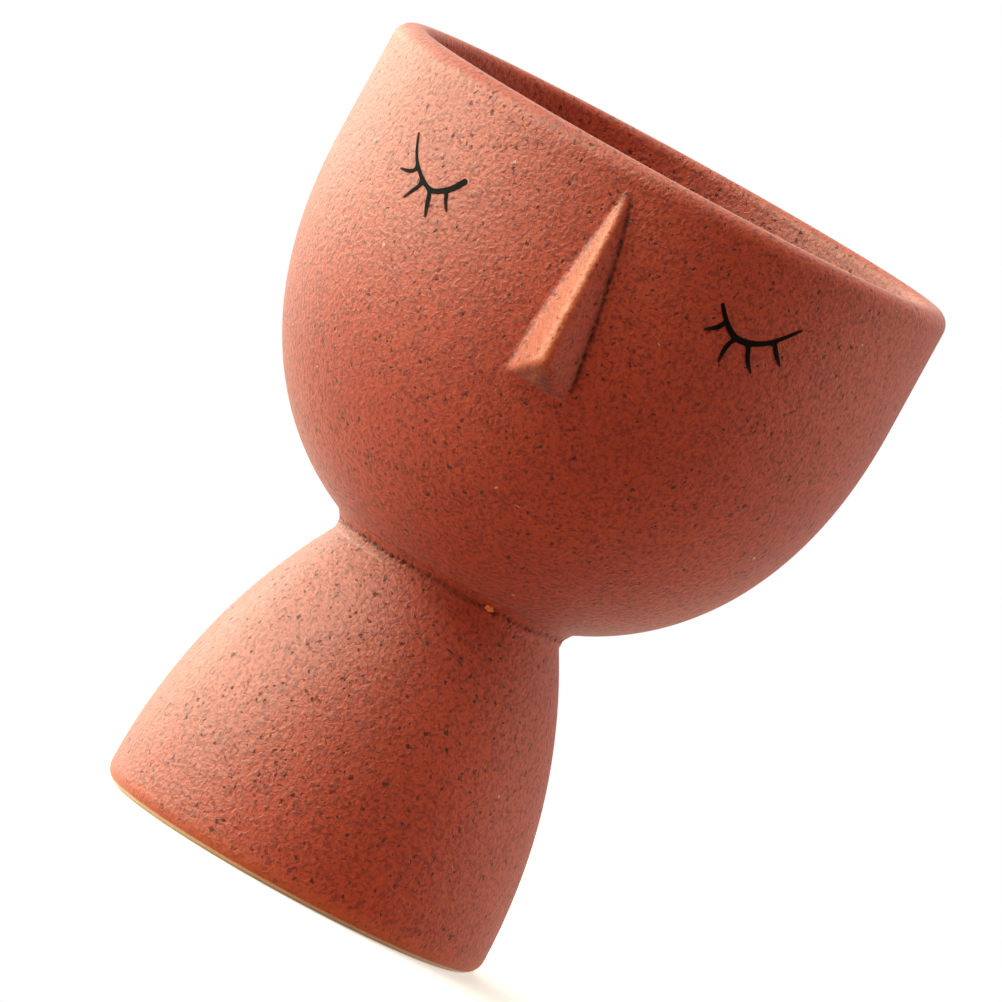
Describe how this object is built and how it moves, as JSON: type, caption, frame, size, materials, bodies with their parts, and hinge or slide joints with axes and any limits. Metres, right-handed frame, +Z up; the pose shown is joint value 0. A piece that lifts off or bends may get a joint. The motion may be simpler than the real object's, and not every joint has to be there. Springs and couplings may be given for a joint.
{
  "type": "ceramic face planter",
  "caption": "Footed stoneware planter: a deep round bowl with a wedge nose and painted closed eyes on a hollow flared pedestal, with a stopper in its drain hole.",
  "frame": {"origin": "on the surface the foot stands on, at the middle of the whole outline seen from above, nose included", "axes": "+Z up, the face and nose look towards -Y, +X to the viewer's right; the pot's own axis is 3.2 mm towards +Y of the origin"},
  "size_m": [0.1158, 0.1222, 0.15],
  "materials": {
    "stoneware": "matte speckled terracotta stoneware, fine orange-peel grain",
    "luting_slip": "matte wiped slip clay",
    "fired_black": "satin fired black brush colour",
    "silicone": "matte moulded silicone"
  },
  "bodies": {
    "planter": {"head_bowl": "stoneware", "pedestal_base": "stoneware", "neck_slip_ring": "luting_slip", "nose": "stoneware", "left_eye_line": "fired_black", "right_eye_line": "fired_black"},
    "stopper": {"drain_plug": "silicone"}
  },
  "joints": [
    {"name": "drain_plug_lift", "type": "slide", "parent": "planter", "child": "stopper", "axis": [0, 0, 1], "range_m": [0, 0.092]}
  ]
}
